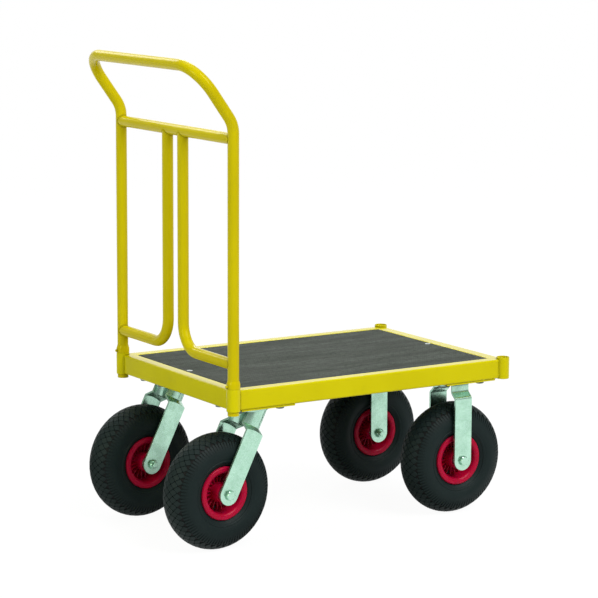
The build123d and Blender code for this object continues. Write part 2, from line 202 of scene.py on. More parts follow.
def grown(name, base, tree, sizes, one=None):
    """A plain mesh of what a node tree makes from a base mesh, its sizes and one shape to copy."""
    bench = put(name, base)
    growth = bench.modifiers.new(name, "NODES")
    growth.node_group = tree
    if one:
        sizes = {**sizes, "Shape": bpy.data.objects.new(name + "_shape", one)}
    for socket in tree.interface.items_tree:
        if socket.name in sizes:
            growth[socket.identifier] = sizes[socket.name]
    ready = bench.evaluated_get(bpy.context.evaluated_depsgraph_get())
    mesh = bpy.data.meshes.new_from_object(ready)
    bpy.data.objects.remove(bench)
    if one:
        bpy.data.objects.remove(sizes["Shape"])
    return mesh


def new_growth(name, inputs):
    """An empty node tree with a geometry socket each way and the named inputs."""
    tree = bpy.data.node_groups.new(name, "GeometryNodeTree")
    tree.interface.new_socket("Geometry", in_out="INPUT", socket_type="NodeSocketGeometry")
    for label, kind in inputs.items():
        tree.interface.new_socket(label, in_out="INPUT", socket_type="NodeSocket" + kind)
    tree.interface.new_socket("Geometry", in_out="OUTPUT", socket_type="NodeSocketGeometry")
    given = tree.nodes.new("NodeGroupInput").outputs
    return tree, given, tree.nodes.new("NodeGroupOutput").inputs[0]


def close_growth(tree, copies, finish, made):
    """Ends a node tree: its copies made real and given their finish."""
    solid = add(tree, "GeometryNodeRealizeInstances", {"Geometry": copies}).outputs[0]
    faced = add(tree, "GeometryNodeSetMaterial", {"Geometry": solid, "Material": finish}).outputs[0]
    tree.links.new(faced, made)


def weld_ripple():
    """Flattened drops of weld metal strung along a seam line."""
    inputs = {"Drop Radius": "Float", "Drop Pitch": "Float", "Finish": "Material"}
    tree, given, made = new_growth("weld_ripple", inputs)
    seam = add(tree, "GeometryNodeMeshToCurve", {"Mesh": given["Geometry"]}).outputs[0]
    spacing = {"Curve": seam, "Length": given["Drop Pitch"]}
    dots = add(tree, "GeometryNodeCurveToPoints", spacing, mode="LENGTH").outputs[0]
    ball = {"Radius": given["Drop Radius"], "Subdivisions": 2}
    drop = add(tree, "GeometryNodeMeshIcoSphere", ball).outputs[0]
    sizes = {2: drop_least, 3: drop_most, "Seed": drop_seed}
    squash = add(tree, "FunctionNodeRandomValue", sizes, data_type="FLOAT").outputs[1]
    values = {"Points": dots, "Instance": drop, "Scale": squash}
    beads = add(tree, "GeometryNodeInstanceOnPoints", values).outputs[0]
    close_growth(tree, beads, given["Finish"], made)
    return tree


def weld(name, seams, body, drop_r, finish):
    """Ripple welds along seam lines, each a list of points, coated over with a finish."""
    points, edges = [], []
    for seam in seams:
        start = len(points)
        points += seam
        edges += [(start + k, start + k + 1) for k in range(len(seam) - 1)]
    lines = bpy.data.meshes.new(name + "_lines")
    lines.from_pydata(points, edges, [])
    sizes = {"Drop Radius": drop_r, "Drop Pitch": bead_pitch, "Finish": finish}
    settle(name, grown(name, lines, ripple, sizes), body, finish)


ripple = weld_ripple()
rail_low, rail_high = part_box("side_rail_left")
seam_step = (rail_high.z - rail_low.z) / (seam_steps + 1)
rail_rows = [rail_low.z + seam_step * k for k in range(1, seam_steps + 1)]
along_x, along_y = Vector((1, 0, 0)), Vector((0, 1, 0))
frame_seams = []
for end, side in corners:
    low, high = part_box(f"socket_{end}_{side}")
    centre = (low + high) / 2
    inward = Vector((1 if end == "handle" else -1, 1 if side == "right" else -1, 0))
    reach = math.sqrt(((high.x - low.x) / 2 + seam_outset) ** 2 - seam_offset**2)
    for along, across in ((along_x, along_y), (along_y, along_x)):
        aside = across * inward.dot(across) * seam_offset
        spot = centre + along * inward.dot(along) * reach - aside
        frame_seams.append([Vector((spot.x, spot.y, z)) for z in rail_rows])
weld("frame_welds", frame_seams, "chassis", frame_bead_r, yellow)

# Push handle: one 25 mm tube bent into two uprights, two raked shoulders and the grip bar, with a
# crossbar and two bent inner bars coped to it and welded. It is coated in the frame's yellow, made
# slightly deeper as painted shade for how the handle is lit, and plugs into the two sockets at its
# end, where stop collars with set screws carry it.
tube_r = 12.5 * mm
tube_wall = 2.0 * mm
tube_sides = 56
cope_r = tube_r + 0.15 * mm
knee_z = 936 * mm
knee_r = 60 * mm
corner_r = 70 * mm
inner_bend_r = 60 * mm
handle_bead_r = 1.6 * mm
seam_r = tube_r + 0.3 * mm
cope_steps = 40
bend_least, bend_degrees = 6, 4
hoop_low, hoop_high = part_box("handle_hoop")
post_x = hoop_high.x - tube_r
post_y = hoop_high.y - tube_r
grip_x = hoop_low.x + tube_r
grip_z = hoop_high.z - tube_r
cross_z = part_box("handle_crossbar")[0].z + tube_r
inner_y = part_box("inner_bar_left")[0].y + tube_r
inner_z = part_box("inner_bar_left")[0].z + tube_r


def full_turn(steps):
    """Angles spread evenly over a full turn."""
    return [2 * math.pi * k / steps for k in range(steps)]


def bent_line(points, radii):
    """A line through the points with each corner rounded to its bend radius, or sharp for none."""
    line = [Vector(points[0])]
    for before, corner, after, radius in zip(points, points[1:], points[2:], radii):
        corner = Vector(corner)
        if not radius:
            line.append(corner)
            continue
        back = (Vector(before) - corner).normalized()
        on = (Vector(after) - corner).normalized()
        half = back.angle(on) / 2
        centre = corner + (back + on).normalized() * radius / math.sin(half)
        arm = corner + back * radius / math.tan(half) - centre
        axis = back.cross(arm)
        sweep = math.pi - 2 * half
        steps = max(bend_least, round(math.degrees(sweep) / bend_degrees))
        turns = [Matrix.Rotation(sweep * k / steps, 3, axis) for k in range(steps + 1)]
        line += [centre + turn @ arm for turn in turns]
    return line + [Vector(points[-1])]


def join_rings(shape, one, two):
    """Faces between two rings of as many vertices."""
    for k in range(len(one)):
        shape.faces.new((one[k - 1], one[k], two[k], two[k - 1]))


def swept_tube(line):
    """A walled tube round a line, and the vertices of its two cut ends."""
    tube = bmesh.new()
    heading = (line[1] - line[0]).normalized()
    across = heading.orthogonal().normalized()
    turns = full_turn(tube_sides)
    skins = ([], [])
    for before, point, after in zip(line[:1] + line, line, line[1:] + line[-1:]):
        turned = ((after - point).normalized() + (point - before).normalized()).normalized()
        across = heading.rotation_difference(turned) @ across
        heading = turned
        up = heading.cross(across)
        spokes = [across * math.cos(turn) + up * math.sin(turn) for turn in turns]
        for skin, radius in zip(skins, (tube_r, tube_r - tube_wall)):
            skin.append([tube.verts.new(point + spoke * radius) for spoke in spokes])
    ends = [(skins[0][k], skins[1][k]) for k in (0, -1)]
    for one, two in [*zip(skins[0], skins[0][1:]), *zip(skins[1], skins[1][1:]), *ends]:
        join_rings(tube, one, two)
    return tube, [outer + inner for outer, inner in ends]


def mesh_of(name, shape):
    """A plain mesh from a finished bmesh, with doubled points merged and its normals outward."""
    bmesh.ops.remove_doubles(shape, verts=shape.verts, dist=0.002 * mm)
    bmesh.ops.recalc_face_normals(shape, faces=shape.faces)
    return as_mesh(name, shape)


def fit_tube(name, tube):
    """A finished tube put on the handle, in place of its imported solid."""
    settle(name + "_bent", mesh_of(name, tube), "push_handle", shaded_handle_yellow, [name])


def cope_depth(x):
    """How far a coped end stands off the axis of the tube that it meets."""
    return math.sqrt(cope_r**2 - min(abs(x - post_x), tube_r) ** 2)


def cope_seam(joint, across, back):
    """The weld line round a coped end, given where the axes meet and the way back up the tube."""
    seam = []
    for turn in [*full_turn(cope_steps), 2 * math.pi]:
        depth = cope_depth(post_x + tube_r * math.cos(turn))
        rim = Vector((math.cos(turn), 0, 0)) + across * math.sin(turn)
        seam.append(joint + rim * seam_r + back * depth)
    return seam


# The handle's coat is the frame's yellow made slightly deeper, as painted shade for how it is lit.
shaded_handle_yellow = powder_coat("handle_powder_coat", (0.565, 0.460, 0.0010, 1), (0.62, 0.510, 0.0016, 1))
hoop_points = [(post_x, post_y, hoop_low.z), (post_x, post_y, knee_z), (grip_x, post_y, grip_z)]
hoop_points += [(x, -y, z) for x, y, z in reversed(hoop_points)]
fit_tube("handle_hoop", swept_tube(bent_line(hoop_points, (knee_r, corner_r, corner_r, knee_r)))[0])

tube, ends = swept_tube([Vector((post_x, -post_y, cross_z)), Vector((post_x, post_y, cross_z))])
for end, side in zip(ends, (-1, 1)):
    for vert in end:
        vert.co.y = side * (post_y - cope_depth(vert.co.x))
fit_tube("handle_crossbar", tube)

handle_seams = []
for name, side in (("inner_bar_left", 1), ("inner_bar_right", -1)):
    bar_y, upright_y = side * inner_y, side * post_y
    bar_points = [(post_x, bar_y, cross_z), (post_x, bar_y, inner_z), (post_x, upright_y, inner_z)]
    tube, (top_end, low_end) = swept_tube(bent_line(bar_points, [inner_bend_r]))
    for vert in top_end:
        vert.co.z = cross_z - cope_depth(vert.co.x)
    for vert in low_end:
        vert.co.y = side * (post_y - cope_depth(vert.co.x))
    fit_tube(name, tube)
    for z in (cross_z, inner_z):
        joint = Vector((post_x, upright_y, z))
        handle_seams.append(cope_seam(joint, Vector((0, 0, 1)), Vector((0, -side, 0))))
    joint = Vector((post_x, bar_y, cross_z))
    handle_seams.append(cope_seam(joint, Vector((0, 1, 0)), Vector((0, 0, -1))))
weld("handle_welds", handle_seams, "push_handle", handle_bead_r, shaded_handle_yellow)
dress("stop_collars", "push_handle", shaded_handle_yellow, 0.0)
dress("set_screws", "push_handle", shaded_handle_yellow, 0.5 * mm)

# Deck: 12 mm plywood faced with dark phenolic film, laid between the rails on angle ledges. The
# film carries a fine woven anti-slip print and faint streaks from the press.
film_weave = 4.2 * mm


def calc(tree, operation, one, two=0.0):
    """One sum of two values, either of which may be a socket."""
    return add(tree, "ShaderNodeMath", {0: one, 1: two}, operation=operation).outputs[0]


def deck_film():
    """Dark grey-green film with a woven print, and paler streaks along the sheet."""
    finish, tree, shader, place = new_finish("deck_film")
    bands = 2 * math.pi / (20 * film_weave)
    weave = []
    for turn in (35, -35):
        turned = {"Vector": place, "Rotation": (0, 0, math.radians(turn))}
        spun = add(tree, "ShaderNodeMapping", turned).outputs[0]
        stripes = {"Vector": spun, "Scale": bands, "Distortion": 0.0}
        wave = add(tree, "ShaderNodeTexWave", stripes).outputs["Fac"]
        weave.append(level(tree, wave, 0, 1, 0.72, 0.96))
    print_lines = calc(tree, "MAXIMUM", *weave)
    streak = mottle(tree, place, 22.0, 5.0, (1.0, 9.0, 1.0))
    scuff = mottle(tree, place, 5.0, 5.0, (1.0, 7.0, 1.0))
    pits = mottle(tree, place, 150.0, 2.0)
    base = tint(tree, level(tree, streak, 0, 1), (0.022, 0.029, 0.020, 1), (0.049, 0.060, 0.047, 1))
    worn = tint(tree, level(tree, scuff, 0, 0.8, 0.38, 0.66), base, (0.082, 0.098, 0.081, 1))
    pitted = tint(tree, level(tree, pits, 0, 0.7, 0.45, 0.7), worn, (0.012, 0.015, 0.011, 1))
    printed = tint(tree, level(tree, print_lines, 0, 0.45, 0, 1), pitted, (0.020, 0.025, 0.019, 1))
    look = {"Base Color": printed, "Roughness": level(tree, streak, 0.52, 0.70)}
    fill(tree, shader, look | {"Specular IOR Level": 0.05})
    relief(tree, shader, (print_lines, 0.12), (streak, 0.05))
    return finish


dress("deck_board", "chassis", deck_film(), 0.6 * mm)
dress("deck_ledges", "chassis", yellow, rail_edge)

# Deck screws: one countersunk cross-recess screw at the middle of each end of the board, driven
# through into the ledge. Bright zinc.
screw_head_r = 6.5 * mm
screw_head_h = 3.5 * mm
screw_shank_r = 3.0 * mm
screw_sides = 40
recess_arm = 3.6 * mm
recess_half = 0.85 * mm
recess_deep = 2.0 * mm
recess_taper = 0.55


def zinc_finish(name, base, shade, rough):
    """Zinc plate with fine spangle, faint brushing, a little tarnish and painted shade in its
    corners.
    """
    finish, tree, shader, place = new_finish(name)
    spangle = add(tree, "ShaderNodeTexVoronoi", {"Vector": place, "Scale": 260.0}).outputs["Color"]
    spark = add(tree, "ShaderNodeSeparateColor", {"Color": spangle}).outputs[0]
    cloud = mottle(tree, place, 38.0, 5.0)
    brushed = mottle(tree, place, 300.0, 2.0, (1.0, 1.0, 0.06))
    colour = tint(tree, level(tree, cloud, 0, 1), base, shade)
    glint = [min(1.0, 1.6 * part) for part in base]
    spangled = tint(tree, level(tree, spark, 0, 0.18, 0, 1), colour, glint)
    # Darkening where the plate lies close to other surfaces is painted shade in its corners and
    # recesses.
    corner_shade_colour = [0.15 * part for part in shade]
    corner_shaded = tint(tree, level(tree, openness(tree, 30 * mm), 0.95, 0, 0.25, 0.7), spangled, corner_shade_colour)
    matt = level(tree, cloud, rough - 0.05, rough + 0.09)
    fill(tree, shader, {"Base Color": corner_shaded, "Metallic": 0.85, "Roughness": matt})
    relief(tree, shader, (brushed, 0.012), (cloud, 0.03))
    return finish


def recessed_screw(shape, head, tip_z):
    """A countersunk screw with a cross recess, added to a bmesh with its head up at a point."""
    turns = full_turn(screw_sides)
    rim = [Vector((math.cos(turn), math.sin(turn), 0)) * screw_head_r for turn in turns]
    arm = [(recess_arm, -recess_half, 0), (recess_arm, recess_half, 0)]
    arm += [(recess_half, recess_half, 0)]
    quarters = [Matrix.Rotation(k * math.pi / 2, 3, "Z") for k in range(4)]
    cross = [quarter @ Vector(point) for quarter in quarters for point in arm]
    top = [shape.verts.new(head + point) for point in rim]
    slot = [shape.verts.new(head + point) for point in cross]
    floor = head - Vector((0, 0, recess_deep))
    sunk = [shape.verts.new(floor + point * recess_taper) for point in cross]
    loops = [(loop[k - 1], loop[k]) for loop in (top, slot) for k in range(len(loop))]
    edges = [shape.edges.new(pair) for pair in loops]
    bmesh.ops.triangle_fill(shape, edges=edges, use_beauty=True)
    narrow = screw_shank_r / screw_head_r
    neck = [shape.verts.new(head + point * narrow - Vector((0, 0, screw_head_h))) for point in rim]
    tip = [shape.verts.new((vert.co.x, vert.co.y, tip_z)) for vert in neck]
    for one, two in ((slot, sunk), (top, neck), (neck, tip)):
        join_rings(shape, one, two)
    shape.faces.new(sunk)
    shape.faces.new(tip)


bright_zinc = zinc_finish("bright_zinc", (0.52, 0.58, 0.55, 1), (0.40, 0.45, 0.43, 1), 0.30)
low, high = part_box("deck_screws")
shape = bmesh.new()
for x in (low.x + screw_head_r, high.x - screw_head_r):
    recessed_screw(shape, Vector((x, 0, high.z)), low.z)
deck_screws = mesh_of("deck_screws", shape)
settle("deck_screws_driven", deck_screws, "chassis", bright_zinc, ["deck_screws"])

# Caster mounting: two flat cross plates welded under the rails in the frame's yellow. M10 bolts
# with washers hold each caster's own plate under them, heads down, with lock nuts above.
plate_t = 5.0
cross_t = 4.0
bolt_af = 17.0
bolt_r = 5.0
bolt_head_h = 5.0
bolt_x, bolt_y = 52.5 * mm, 40.0 * mm
thread_chamfer = 0.8
axis_r = 0.01
washer_r = 10.0
washer_bore = 5.3
washer_t = 1.3
nut_h = 5.6
nut_bore = 5.15
nut_collar_r = 7.4
nut_collar_h = 2.4
collar_sunk, collar_draft, collar_round = 0.4, 0.2, 0.9
hex_steps = 48
turned_share = 0.95
fastener_turns = 32
spin_seed = 7


def lathe(shape, profile, turns):
    """Turns a closed profile of (radius, height) points in millimetres about Z into a bmesh."""
    rings = []
    for turn in full_turn(turns):
        x, y = math.cos(turn) * mm, math.sin(turn) * mm
        rings.append([shape.verts.new((r * x, r * y, z * mm)) for r, z in profile])
    count = len(profile)
    for one, two in zip(rings, rings[1:] + rings[:1]):
        for n in range(count):
            shape.faces.new((one[n - 1], two[n - 1], two[n], one[n]))
    return shape


def close_stack(shape, rings):
    """Faces up a stack of rings and closes both its ends."""
    for one, two in zip(rings, rings[1:]):
        join_rings(shape, one, two)
    shape.faces.new(rings[-1])
    shape.faces.new(rings[0])


def hex_head(shape, across_flats, height, base, dome):
    """A hexagon head or nut standing on Z = base, its top corners turned off over a share of it."""
    rings = []
    for z, hexed in ((base, True), (base + height * (1 - dome), True), (base + height, False)):
        ring = []
        for turn in full_turn(hex_steps):
            off_flat = turn % (math.pi / 3) - math.pi / 6
            reach = across_flats / 2 * mm * (1 / math.cos(off_flat) if hexed else turned_share)
            ring.append(shape.verts.new((reach * math.cos(turn), reach * math.sin(turn), z * mm)))
        rings.append(ring)
    close_stack(shape, rings)
    return shape


def moved(shape, place):
    """A bmesh after a move or turn."""
    bmesh.ops.transform(shape, matrix=place, verts=shape.verts)
    return shape


def lock_nut(across_flats, height, base, bore, collar_r, collar_h):
    """A hexagon nut on Z = base with the round collar of its locking ring."""
    nut = hex_head(bmesh.new(), across_flats, height, base, dome=0.15)
    foot = base + height - collar_sunk
    top = base + height + collar_h
    collar = [(bore, foot), (collar_r, foot), (collar_r - collar_draft, foot + collar_h)]
    collar += [(collar_r - collar_round, top), (bore, top)]
    return lathe(nut, collar, fastener_turns)


def set_about():
    """A node tree that sets copies of one shape on the points of a mesh, each turned by chance."""
    tree, given, made = new_growth("set_about", {"Shape": "Object", "Finish": "Material"})
    shape = add(tree, "GeometryNodeObjectInfo", {"Object": given["Shape"]}).outputs["Geometry"]
    turns = {0: (0, 0, 0), 1: (0, 0, math.pi / 3), "Seed": spin_seed}
    spin = add(tree, "FunctionNodeRandomValue", turns, data_type="FLOAT_VECTOR").outputs[0]
    values = {"Points": given["Geometry"], "Instance": shape, "Rotation": spin}
    copies = add(tree, "GeometryNodeInstanceOnPoints", values).outputs[0]
    close_growth(tree, copies, given["Finish"], made)
    return tree


def fit_fasteners(node, shape):
    """Copies of one fastener at every bolt place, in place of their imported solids."""
    copies = grown(node, bolt_spots, by_bolt, {"Finish": dark_zinc}, mesh_of(node, shape))
    settle(node + "_fitted", copies, "chassis", dark_zinc, [node])


for end in ("handle", "front"):
    dress(f"cross_plate_{end}", "chassis", yellow, rail_edge)
dark_zinc = zinc_finish("dark_zinc", (0.16, 0.21, 0.18, 1), (0.09, 0.12, 0.10, 1), 0.34)
bolt_places = []
for plate in ("swivel_plate_left", "swivel_plate_right", "fixed_fork_left", "fixed_fork_right"):
    low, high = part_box(plate)
    middle = (low + high) / 2
    for x in (middle.x - bolt_x, middle.x + bolt_x):
        bolt_places += [(x, middle.y - bolt_y, high.z), (x, middle.y + bolt_y, high.z)]
bolt_spots = bpy.data.meshes.new("bolt_spots")
bolt_spots.from_pydata(bolt_places, [], [])
by_bolt = set_about()

under = -plate_t - washer_t
thread_top = (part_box("caster_bolts")[1].z - bolt_places[0][2]) / mm
thread = [(axis_r, thread_top), (bolt_r - thread_chamfer, thread_top)]
thread += [(bolt_r, thread_top - thread_chamfer), (bolt_r, under), (axis_r, under)]
washer = [(washer_bore, under), (washer_r, under), (washer_r, -plate_t), (washer_bore, -plate_t)]
shape = hex_head(bmesh.new(), bolt_af, bolt_head_h, 0, dome=0.12)
moved(shape, Matrix.Translation((0, 0, under * mm)) @ Matrix.Rotation(math.pi, 4, "X"))
for profile in (thread, washer):
    lathe(shape, profile, fastener_turns)
fit_fasteners("caster_bolts", shape)
nut = lock_nut(bolt_af, nut_h, cross_t, nut_bore, nut_collar_r, nut_collar_h)
fit_fasteners("caster_nuts", nut)

# Forks: zinc plated strip steel with a pale green passivation. The fixed forks are one joggled
# strip welded under its plate; the swivel forks are pressed, raked, and welded to a crown disc that
# turns under its own plate on a race ring and a king bolt.
fork_zinc = zinc_finish("passivated_zinc", (0.48, 0.77, 0.60, 1), (0.38, 0.65, 0.49, 1), 0.22)
for side in ("left", "right"):
    for node, body, finish, slot in (
        ("fixed_fork_", "chassis", fork_zinc, "zinc_plate"),
        ("swivel_plate_", "chassis", fork_zinc, "zinc_plate"),
        ("swivel_fork_", "swivel_" + side, fork_zinc, "zinc_plate"),
        ("race_ring_", "swivel_" + side, bright_zinc, "bearing_steel"),
        ("king_bolt_", "chassis", bright_zinc, "fastener_zinc"),
    ):
        dress(node + side, body, finish, rail_edge)

# Tyres: 260 x 85 mm pneumatic tyres of black rubber, moulded in one piece. Staggered diamond blocks
# cover the crown, a comb of tapering bars runs from each shoulder down the sidewall, and the lower
# sidewall is smooth up to the ring that guards the rim.
tyre_r = 130.0
bead_edge_r, bead_half = 60.3, 31.0
bead_foot, bead_toe = 50.3, 22.5
tyre_wall = 6.5
section_mid = (tyre_r**2 - bead_edge_r**2 - bead_half**2) / (2 * (tyre_r - bead_edge_r))
section_r = tyre_r - section_mid
tread_depth = 3.0
groove_r = section_r - tread_depth
tread_angle = 92.0
lug_rows = 7
lug_count = 48
lug_groove = 2.6
lug_root = 1.0
lug_tip = 0.14
lug_round = 0.5
lug_clear = 0.05
lug_flare, lug_shoulder, lug_top = 1.10, 1.02, 0.94
row_angle = math.radians(tread_angle / lug_rows)
comb_count = 96
comb_from, comb_to = 51.0, 80.0
comb_steps = 6
comb_wide, comb_narrow = 2.5, 1.0
comb_root, comb_flare, comb_fall = 0.6, 1.25, 0.5
crown_steps = 18
casing_turns = 144
wall_angles, foot_angles, cavity_angles = range(94, 109, 4), range(121, 130, 3), range(140, -1, -10)
# How far each part of the tyre stands out; grooves and feet are darkened by it as painted shade.
in_groove, at_foot, on_wall, on_bar = 0.1, 0.3, 0.55, 0.7
wheels = {}
for joint in frame["joints"]:
    if joint["name"].startswith("wheel_"):
        turn = math.atan2(-joint["axis"][0], joint["axis"][1])
        turn += math.pi if joint["child"].endswith("left") else 0
        place = Matrix.Translation(joint["pos_m"]) @ Matrix.Rotation(turn, 4, "Z")
        wheels[joint["child"]] = place @ Matrix.Rotation(math.pi / 2, 4, "X")


def tyre_rubber():
    """Black rubber: matt, slightly green, with dusty block tops, and painted shade in the grooves.
    """
    finish, tree, shader, place = new_finish("tyre_rubber")
    cloud = mottle(tree, place, 14.0, 5.0)
    grit = mottle(tree, place, 420.0, 3.0)
    proud = add(tree, "ShaderNodeAttribute", {}, attribute_name="proud").outputs["Fac"]
    black, faded = (0.0030, 0.0096, 0.0096, 1), (0.0056, 0.0140, 0.0136, 1)
    base = tint(tree, level(tree, cloud, 0, 1), black, faded)
    dusty = tint(tree, level(tree, grit, 0, 0.25, 0.5, 0.8), base, (0.018, 0.027, 0.025, 1))
    # Near black grooves and feet are painted shade; the dusty, scuffed tops are wear.
    deep = tint(tree, level(tree, proud, 0, 1, 0.1, 0.5), (0.0022, 0.0030, 0.0030, 1), dusty)
    scuffed = tint(tree, level(tree, proud, 0, 0.15, 0.6, 1.0), deep, (0.018, 0.027, 0.027, 1))
    look = {"Base Color": scuffed, "Roughness": level(tree, grit, 0.46, 0.66)}
    fill(tree, shader, look | {"Specular IOR Level": 0.17})
    relief(tree, shader, (grit, 0.08))
    return finish


def section_point(angle, grow=0.0):
    """A point of the tyre's round section, by its angle from the tread's middle in degrees."""
    turn = math.radians(angle)
    return section_mid + (section_r + grow) * math.cos(turn), (section_r + grow) * math.sin(turn)


def casing_profile():
    """The casing's section: sunk crown, smooth sidewall, rim guard, bead and cavity."""
    crown_r = (groove_r**2 + section_r**2) / (2 * groove_r)
    crown_mid = section_mid + groove_r - crown_r
    sweep = [math.asin(section_r / crown_r) * k / crown_steps for k in range(crown_steps + 1)]
    half = [(crown_mid + crown_r * math.cos(turn), crown_r * math.sin(turn)) for turn in sweep]
    half += [section_point(angle) for angle in wall_angles]
    guard = ((110, -0.2), (111, 0.9), (114, 1.2), (117, 0.9), (118, -0.2))
    half += [section_point(angle, grow) for angle, grow in guard]
    half += [section_point(angle) for angle in foot_angles]
    half += [(bead_edge_r, bead_half), (bead_foot, bead_half), (bead_foot, bead_toe)]
    half += [section_point(angle, -tyre_wall) for angle in cavity_angles]
    return half + [(r, -z) for r, z in reversed(half[1:-1])]


def tread_block():
    """One diamond block standing on X, its length along Y and its width along Z, tips cut short."""
    half_cell = (tyre_r * math.pi / lug_count, section_r * row_angle)
    share = 1 - lug_groove / 2 * math.hypot(*half_cell) / (half_cell[0] * half_cell[1])
    quarter = [(1, lug_tip), (lug_tip, 1)]
    half = quarter + [(-y, z) for y, z in reversed(quarter)]
    outline = half + [(-y, -z) for y, z in half]
    shape = bmesh.new()
    rings = []
    heights = (-lug_root, tread_depth - lug_round, tread_depth - lug_clear)
    for height, grow in zip(heights, (lug_flare, lug_shoulder, lug_top)):
        ring = []
        for y, z in outline:
            along, across = y * half_cell[0] * share * grow, z * half_cell[1] * share * grow
            sag = along**2 / (2 * tyre_r) + across**2 / (2 * section_r)
            ring.append(shape.verts.new(((height - sag) * mm, along * mm, across * mm)))
        rings.append(ring)
    close_stack(shape, rings)
    return mesh_of("tread_block", shape)


def comb_bar(side):
    """One shoulder bar on a side of the tyre, wide at the tread, fading out down the sidewall."""
    shape = bmesh.new()
    rows = []
    for k in range(comb_steps + 1):
        share = k / comb_steps
        half_wide = comb_wide + (comb_narrow - comb_wide) * share
        row = []
        foot, back = -tread_depth - comb_root, -lug_clear - comb_fall * share
        for grow, widen in ((foot, comb_flare), (back, 1.0)):
            r, z = section_point(comb_from + (comb_to - comb_from) * share, grow)
            for y in (-half_wide * widen, half_wide * widen):
                row.append(shape.verts.new((r * mm, y * mm, side * z * mm)))
        rows.append(row)
    for one, two in zip(rows, rows[1:]):
        for a, b in ((0, 2), (2, 3), (3, 1), (1, 0)):
            shape.faces.new((one[a], one[b], two[b], two[a]))
    for row in (rows[0], rows[-1]):
        shape.faces.new([row[k] for k in (0, 2, 3, 1)])
    return mesh_of("comb_bar", shape)


def mark_proud(mesh, height):
    """Gives each point of a mesh how far it stands out of the grooves, 0 to 1, for the rubber."""
    mark = mesh.attributes.new("proud", "FLOAT", "POINT")
    mark.data.foreach_set("value", [height(vert.co) for vert in mesh.vertices])
    return mesh


def block_height(point):
    """A tread block has feet darkened as painted shade and a dusty top."""
    return 1.0 if point.x > 0 else 0.0


def comb_height(point):
    """A comb bar has a dusty back between feet darkened as painted shade."""
    reach = math.hypot(math.hypot(point.x, point.y) - section_mid * mm, point.z)
    return on_bar if reach > (section_r - lug_root) * mm else at_foot


def casing_height(point):
    """The casing is groove under the tread and climbs to the smooth sidewall along the comb."""
    turn = math.degrees(math.atan2(abs(point.z), math.hypot(point.x, point.y) - section_mid * mm))
    climb = (turn - comb_from) / (comb_to - comb_from)
    return in_groove if climb < 0 else at_foot + (on_wall - at_foot) * min(climb, 1)


def ring_copies(tree, shape, count, start=0.0):
    """Copies of one shape set evenly round Z from a start angle, as a step of a node tree."""
    index = add(tree, "GeometryNodeInputIndex", {}).outputs[0]
    pitch = calc(tree, "DIVIDE", 2 * math.pi, count)
    angle = calc(tree, "ADD", calc(tree, "MULTIPLY", index, pitch), start)
    turn = add(tree, "ShaderNodeCombineXYZ", {"Z": angle}).outputs[0]
    spots = add(tree, "GeometryNodeMeshLine", {"Count": count, "Offset": (0, 0, 0)}).outputs[0]
    one = add(tree, "GeometryNodeGeometryToInstance", {"Geometry": shape}).outputs[0]
    values = {"Points": spots, "Instance": one, "Rotation": turn}
    return add(tree, "GeometryNodeInstanceOnPoints", values).outputs[0]


def ring_of():
    """A node tree that sets copies of one shape evenly round Z."""
    inputs = {"Shape": "Object", "Count": "Int", "Start": "Float", "Finish": "Material"}
    tree, given, made = new_growth("ring_of", inputs)
    shape = add(tree, "GeometryNodeObjectInfo", {"Object": given["Shape"]}).outputs["Geometry"]
    copies = ring_copies(tree, shape, given["Count"], given["Start"])
    close_growth(tree, copies, given["Finish"], made)
    return tree


def tread_field():
    """Rows of blocks over the tread's arc, every other one half a pitch on, set round the tyre."""
    inputs = {"Shape": "Object", "Rows": "Int", "Count": "Int", "Row Step": "Float"}
    inputs |= {"Section Middle": "Float", "Section Radius": "Float", "Finish": "Material"}
    tree, given, made = new_growth("tread_field", inputs)
    block = add(tree, "GeometryNodeObjectInfo", {"Object": given["Shape"]}).outputs["Geometry"]
    index = add(tree, "GeometryNodeInputIndex", {}).outputs[0]
    middle = calc(tree, "MULTIPLY", calc(tree, "SUBTRACT", given["Rows"], 1.0), 0.5)
    row = calc(tree, "SUBTRACT", index, middle)
    tilt = calc(tree, "MULTIPLY", row, given["Row Step"])
    reach = calc(tree, "MULTIPLY", calc(tree, "COSINE", tilt), given["Section Radius"])
    radius = calc(tree, "ADD", reach, given["Section Middle"])
    height = calc(tree, "MULTIPLY", calc(tree, "SINE", tilt), given["Section Radius"])
    pitch = calc(tree, "DIVIDE", math.pi, given["Count"])
    stagger = calc(tree, "MULTIPLY", calc(tree, "MODULO", calc(tree, "ABSOLUTE", row), 2.0), pitch)
    x = calc(tree, "MULTIPLY", radius, calc(tree, "COSINE", stagger))
    y = calc(tree, "MULTIPLY", radius, calc(tree, "SINE", stagger))
    spot = add(tree, "ShaderNodeCombineXYZ", {"X": x, "Y": y, "Z": height}).outputs[0]
    rows = {"Count": given["Rows"], "Offset": (0, 0, 0)}
    spots = add(tree, "GeometryNodeMeshLine", rows).outputs[0]
    spots = add(tree, "GeometryNodeSetPosition", {"Geometry": spots, "Position": spot}).outputs[0]
    lean = calc(tree, "MULTIPLY", tilt, -1.0)
    turned = add(tree, "ShaderNodeCombineXYZ", {"Y": lean, "Z": stagger}).outputs[0]
    crown = calc(tree, "ADD", given["Section Middle"], given["Section Radius"])
    shorter = calc(tree, "DIVIDE", radius, crown)
    fit = add(tree, "ShaderNodeCombineXYZ", {"X": 1.0, "Y": shorter, "Z": 1.0}).outputs[0]
    values = {"Points": spots, "Instance": block, "Rotation": turned, "Scale": fit}
    across = add(tree, "GeometryNodeInstanceOnPoints", values).outputs[0]
    close_growth(tree, ring_copies(tree, across, given["Count"]), given["Finish"], made)
    return tree


def ring_mesh(name, one, count, start, finish):
    """A ring of copies of a mesh as one plain mesh."""
    sizes = {"Count": count, "Start": start, "Finish": finish}
    return grown(name, bpy.data.meshes.new(name + "_base"), around, sizes, one)


def joined(name, parts, place):
    """One mesh of several, moved to its place in the frame."""
    shape = bmesh.new()
    for part in parts:
        shape.from_mesh(part)
    return as_mesh(name, moved(shape, place))


